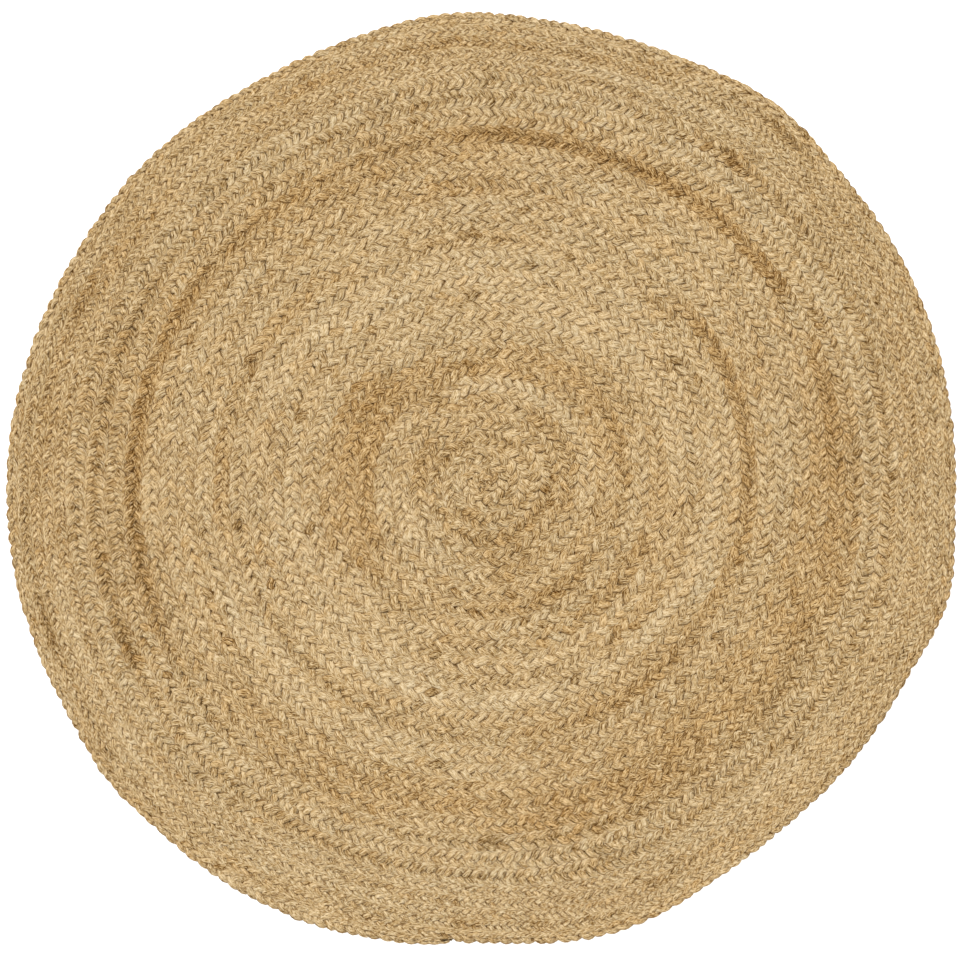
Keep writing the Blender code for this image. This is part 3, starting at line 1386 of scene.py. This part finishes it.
@dataclass(frozen=True)
class JuteFinish:
    """Raw jute fibre: streaks along the strand, paler and browner fibres, painted shade between
    legs.

    Attributes:
        name: The material's name.
        dark, brown, straw, pale: The tones of the fibre, from the darkest to the palest.
        tones_at: Where those four lie on the scale of tone, from 0 to 1.
        tone_middle: The tone of fibre without any shade.
        tone_reach: How much a shade of 1 adds to that.
        warm, cool: What multiplies the colour of redder and of greener fibre.
        tint_share: How far a warmth of 1 does that.
        fleck_and_painted_shade: What multiplies the colour in the dark flecks, and as painted
            shade deep between two legs.
        wide, thin: The streaks of bundles and of single fibres.
        fleck, most_fleck: The dark flecks, and how dark they get at most.
        patch, least_patch: How the painted shade comes and goes along a leg, and what is left at
            least.
        painted_shade_power: How gently the painted shade between legs sets in.
        roughness, shine: The roughness and the shine of the fibre.
        relief: How deep the fibre's relief is, in metres.
        wide_relief, thin_relief: What the two kinds of streak add to it.
        round_the_coil: Whether the fibre runs along the turns, and not along a strand.
    """

    name: str = "jute_fibre"
    dark: Colour = (0.105, 0.044, 0.008)
    brown: Colour = (0.378, 0.226, 0.078)
    straw: Colour = (0.560, 0.387, 0.182)
    pale: Colour = (0.780, 0.612, 0.373)
    tones_at: tuple[float, float, float, float] = (0.10, 0.30, 0.56, 0.94)
    tone_middle: float = 0.52
    tone_reach: float = 0.095
    warm: Colour = (1.00, 0.93, 0.82)
    cool: Colour = (0.96, 1.00, 1.06)
    tint_share: float = 0.7
    fleck_and_painted_shade: Colour = (0.22, 0.125, 0.025)
    wide: Grain = Grain((230.0, 820.0, 820.0), 1.0, 0.5, 1.5, -0.71)
    thin: Grain = Grain((210.0, 1600.0, 1600.0), 2.0, 0.7, 2.5, -1.22)
    fleck: Grain = Grain((170.0, 820.0, 820.0), 1.0, 0.5, 8.0, -4.88)
    most_fleck: float = 0.75
    patch: Grain = Grain((90.0, 90.0, 90.0), 0.0, 0.5, 4.0, -1.3)
    least_patch: float = 0.45
    painted_shade_power: float = 0.85
    roughness: float = 0.85
    shine: float = 0.02
    relief: float = 0.0006
    wide_relief: float = 0.8
    thin_relief: float = 0.6
    round_the_coil: bool = False

    def build(self) -> bpy.types.Material:
        """Wires the material.

        Returns:
            The material.
        """
        bench = NodeBench(self.name)
        fibre = bench.round_the_coil() if self.round_the_coil else bench.vector("fibre")
        wide, thin = bench.noise(fibre, self.wide), bench.noise(fibre, self.thin)
        colour = self._tinted(bench, self._fibre_colour(bench, wide, thin))
        fleck = bench.read(bench.noise(fibre, self.fleck), self.fleck)
        colour = bench.tint(colour, bench.clamped(fleck, 0.0, self.most_fleck), self.fleck_and_painted_shade)
        # Painted shade: the colour is darkened where a point lies deep between legs or under the
        # strands, in patches along a leg.
        patch = bench.read(bench.noise(fibre, self.patch), self.patch)
        painted_gap_shade = bench.math("POWER", bench.value("painted_gap_shade"), self.painted_shade_power)
        sunk = bench.math("MULTIPLY", painted_gap_shade, bench.clamped(patch, self.least_patch, 1.0))
        bench.wire(bench.tint(colour, sunk, self.fleck_and_painted_shade), bench.shader.inputs["Base Color"])
        bench.dress({"Roughness": self.roughness, "Specular IOR Level": self.shine})
        self._raise(bench, wide, thin)
        return bench.material

    def _fibre_colour(self, bench: NodeBench, wide: Socket, thin: Socket) -> Socket:
        """The colour of the fibre, by its shade and its streaks.

        Args:
            bench: The material.
            wide: The streaks of bundles of fibre.
            thin: The streaks of single fibres.

        Returns:
            The colour.
        """
        tone = bench.math("MULTIPLY_ADD", bench.value("shade"), self.tone_reach, self.tone_middle)
        tone = bench.math("ADD", tone, bench.read(wide, self.wide))
        tone = bench.math("ADD", tone, bench.read(thin, self.thin))
        colours = (self.dark, self.brown, self.straw, self.pale)
        return bench.ramp(tone, dict(zip(self.tones_at, colours)))

    def _tinted(self, bench: NodeBench, colour: Socket) -> Socket:
        """Makes the colour redder or greener, by the warmth of the fibre.

        Args:
            bench: The material.
            colour: The colour.

        Returns:
            The tinted colour.
        """
        warmth = bench.value("warmth")
        for share, tone in ((self.tint_share, self.warm), (-self.tint_share, self.cool)):
            amount = bench.clamped(bench.math("MULTIPLY", warmth, share), 0.0, 1.0)
            colour = bench.tint(colour, amount, tone)
        return colour

    def _raise(self, bench: NodeBench, wide: Socket, thin: Socket) -> None:
        """Gives the fibre its relief.

        Args:
            bench: The material.
            wide: The streaks of bundles of fibre.
            thin: The streaks of single fibres.
        """
        bump = bench.node("ShaderNodeBump")
        bump.inputs["Strength"].default_value = 1.0
        bump.inputs["Distance"].default_value = self.relief
        bundles = bench.math("MULTIPLY", wide, self.wide_relief)
        height = bench.math("MULTIPLY_ADD", thin, self.thin_relief, bundles)
        bench.wire(height, bump.inputs["Height"])
        bench.wire(bump.outputs["Normal"], bench.shader.inputs["Normal"])


@dataclass(frozen=True)
class Studio:
    """The plain white floor, the soft light and the camera straight above the rug.

    Attributes:
        floor_size: The side of the floor.
        floor_tone: How white the floor is, from 0 to 1.
        floor_roughness: The roughness of the floor.
        floor_glow: How much light the floor gives off, so that no shadow shows on it.
        view_width: How much of the floor the camera takes in, at view_height.
        view_height: The height that it is focused on: the top of the rug.
        view_centre: What the camera looks at, seen from above.
        lens, sensor: The focal length and the width of the sensor, in millimetres.
        sky: How bright the room is.
        sun: How bright the soft lamp is.
        sun_angle: How wide that lamp is, as seen from the rug, in degrees.
        sun_tilt: How far it is tilted round X and Y, in degrees.
    """

    floor_size: float = 60.0
    floor_tone: float = 0.94
    floor_roughness: float = 0.9
    floor_glow: float = 0.5
    view_width: float = 1.2247
    view_height: float = 0.0070
    view_centre: tuple[float, float] = (-0.0051, 0.0051)
    lens: float = 85.0
    sensor: float = 36.0
    sky: float = 0.95
    sun: float = 1.55
    sun_angle: float = 28.0
    sun_tilt: tuple[float, float] = (-38.0, -30.0)

    WHITE = (1.0, 1.0, 1.0, 1.0)

    def build(self) -> None:
        """Makes the floor, the lights and the camera."""
        self._floor()
        self._lights()
        self._camera()

    def _floor(self) -> None:
        """Lays the floor, which isn't part of the rug."""
        half = 0.5 * self.floor_size
        corners = [[-half, -half, 0.0], [half, -half, 0.0], [half, half, 0.0], [-half, half, 0.0]]
        floor = Mesh(np.array(corners), [np.array([[0, 1, 2, 3]])]).build("floor")
        bench = NodeBench("white_floor")
        bench.dress(
            {
                "Base Color": (*[self.floor_tone] * 3, 1.0),
                "Roughness": self.floor_roughness,
                "Emission Color": self.WHITE,
                "Emission Strength": self.floor_glow,
            }
        )
        floor.data.materials.append(bench.material)

    def _lights(self) -> None:
        """Hangs one broad soft lamp and lights the room evenly."""
        world = bpy.data.worlds.new("soft_room")
        world.use_nodes = True
        background = world.node_tree.nodes["Background"]
        background.inputs["Color"].default_value = self.WHITE
        background.inputs["Strength"].default_value = self.sky
        bpy.context.scene.world = world
        lamp = bpy.data.lights.new("soft_lamp", "SUN")
        lamp.energy = self.sun
        lamp.angle = math.radians(self.sun_angle)
        holder = bpy.data.objects.new("soft_lamp", lamp)
        holder.rotation_euler = (*map(math.radians, self.sun_tilt), 0.0)
        bpy.context.scene.collection.objects.link(holder)

    def _camera(self) -> None:
        """Puts the camera straight above the rug."""
        data = bpy.data.cameras.new("camera")
        data.lens = self.lens
        data.sensor_width = self.sensor
        camera = bpy.data.objects.new("camera", data)
        distance = self.view_width * self.lens / self.sensor
        camera.location = (*self.view_centre, self.view_height + distance)
        bpy.context.scene.collection.objects.link(camera)
        bpy.context.scene.camera = camera
        bpy.context.scene.view_settings.view_transform = "Standard"


@dataclass
class BraidedRug:
    """The whole rug: the bed, the three strands and the loose fibres.

    Attributes:
        coil: The spiral that it follows.
        lay: How long one plait is.
        batches: The tones of the fibre.
        flat_size: The box of the rug, seen from above. Not used.
        flat_area: The area inside its outline. Not used.
    """

    coil: Coil = field(default_factory=Coil)
    lay: Lay = field(default_factory=Lay)
    batches: FibreBatches = field(default_factory=FibreBatches)
    flat_size: tuple[float, float] = (1.2125, 1.1892)
    flat_area: float = 1.133

    def build(self) -> list[Piece]:
        """Makes and dresses every piece.

        Returns:
            The pieces.
        """
        jute = JuteFinish().build()
        between = JuteFinish(name="jute_between_strands", round_the_coil=True).build()
        plait = Plait(self.coil, self.lay, self.batches)
        order = [(strand, reach) for reach in Reach for strand in range(Plait.STRANDS)]
        strands = [plait.build_strand(strand, reach) for strand, reach in order]
        hairs = Hairs(plait).build()
        bed = Bed(self.coil, self.batches).build()
        bed.data.materials.append(between)
        for piece in (*strands, hairs):
            piece.data.materials.append(jute)
        pieces = [bed, *strands, hairs]
        for piece in pieces:
            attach(piece, BODY)
        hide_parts(CAD_NODE)
        return pieces


def main() -> None:
    """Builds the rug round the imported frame, then its studio."""
    logging.basicConfig(level=logging.INFO, format="%(message)s")
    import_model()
    for piece in BraidedRug().build():
        faces = sum(len(face.vertices) - 2 for face in piece.data.polygons)
        LOG.info("%s: %d points, %d triangles", piece.name, len(piece.data.vertices), faces)
    Studio().build()


if __name__ == "__main__":
    main()
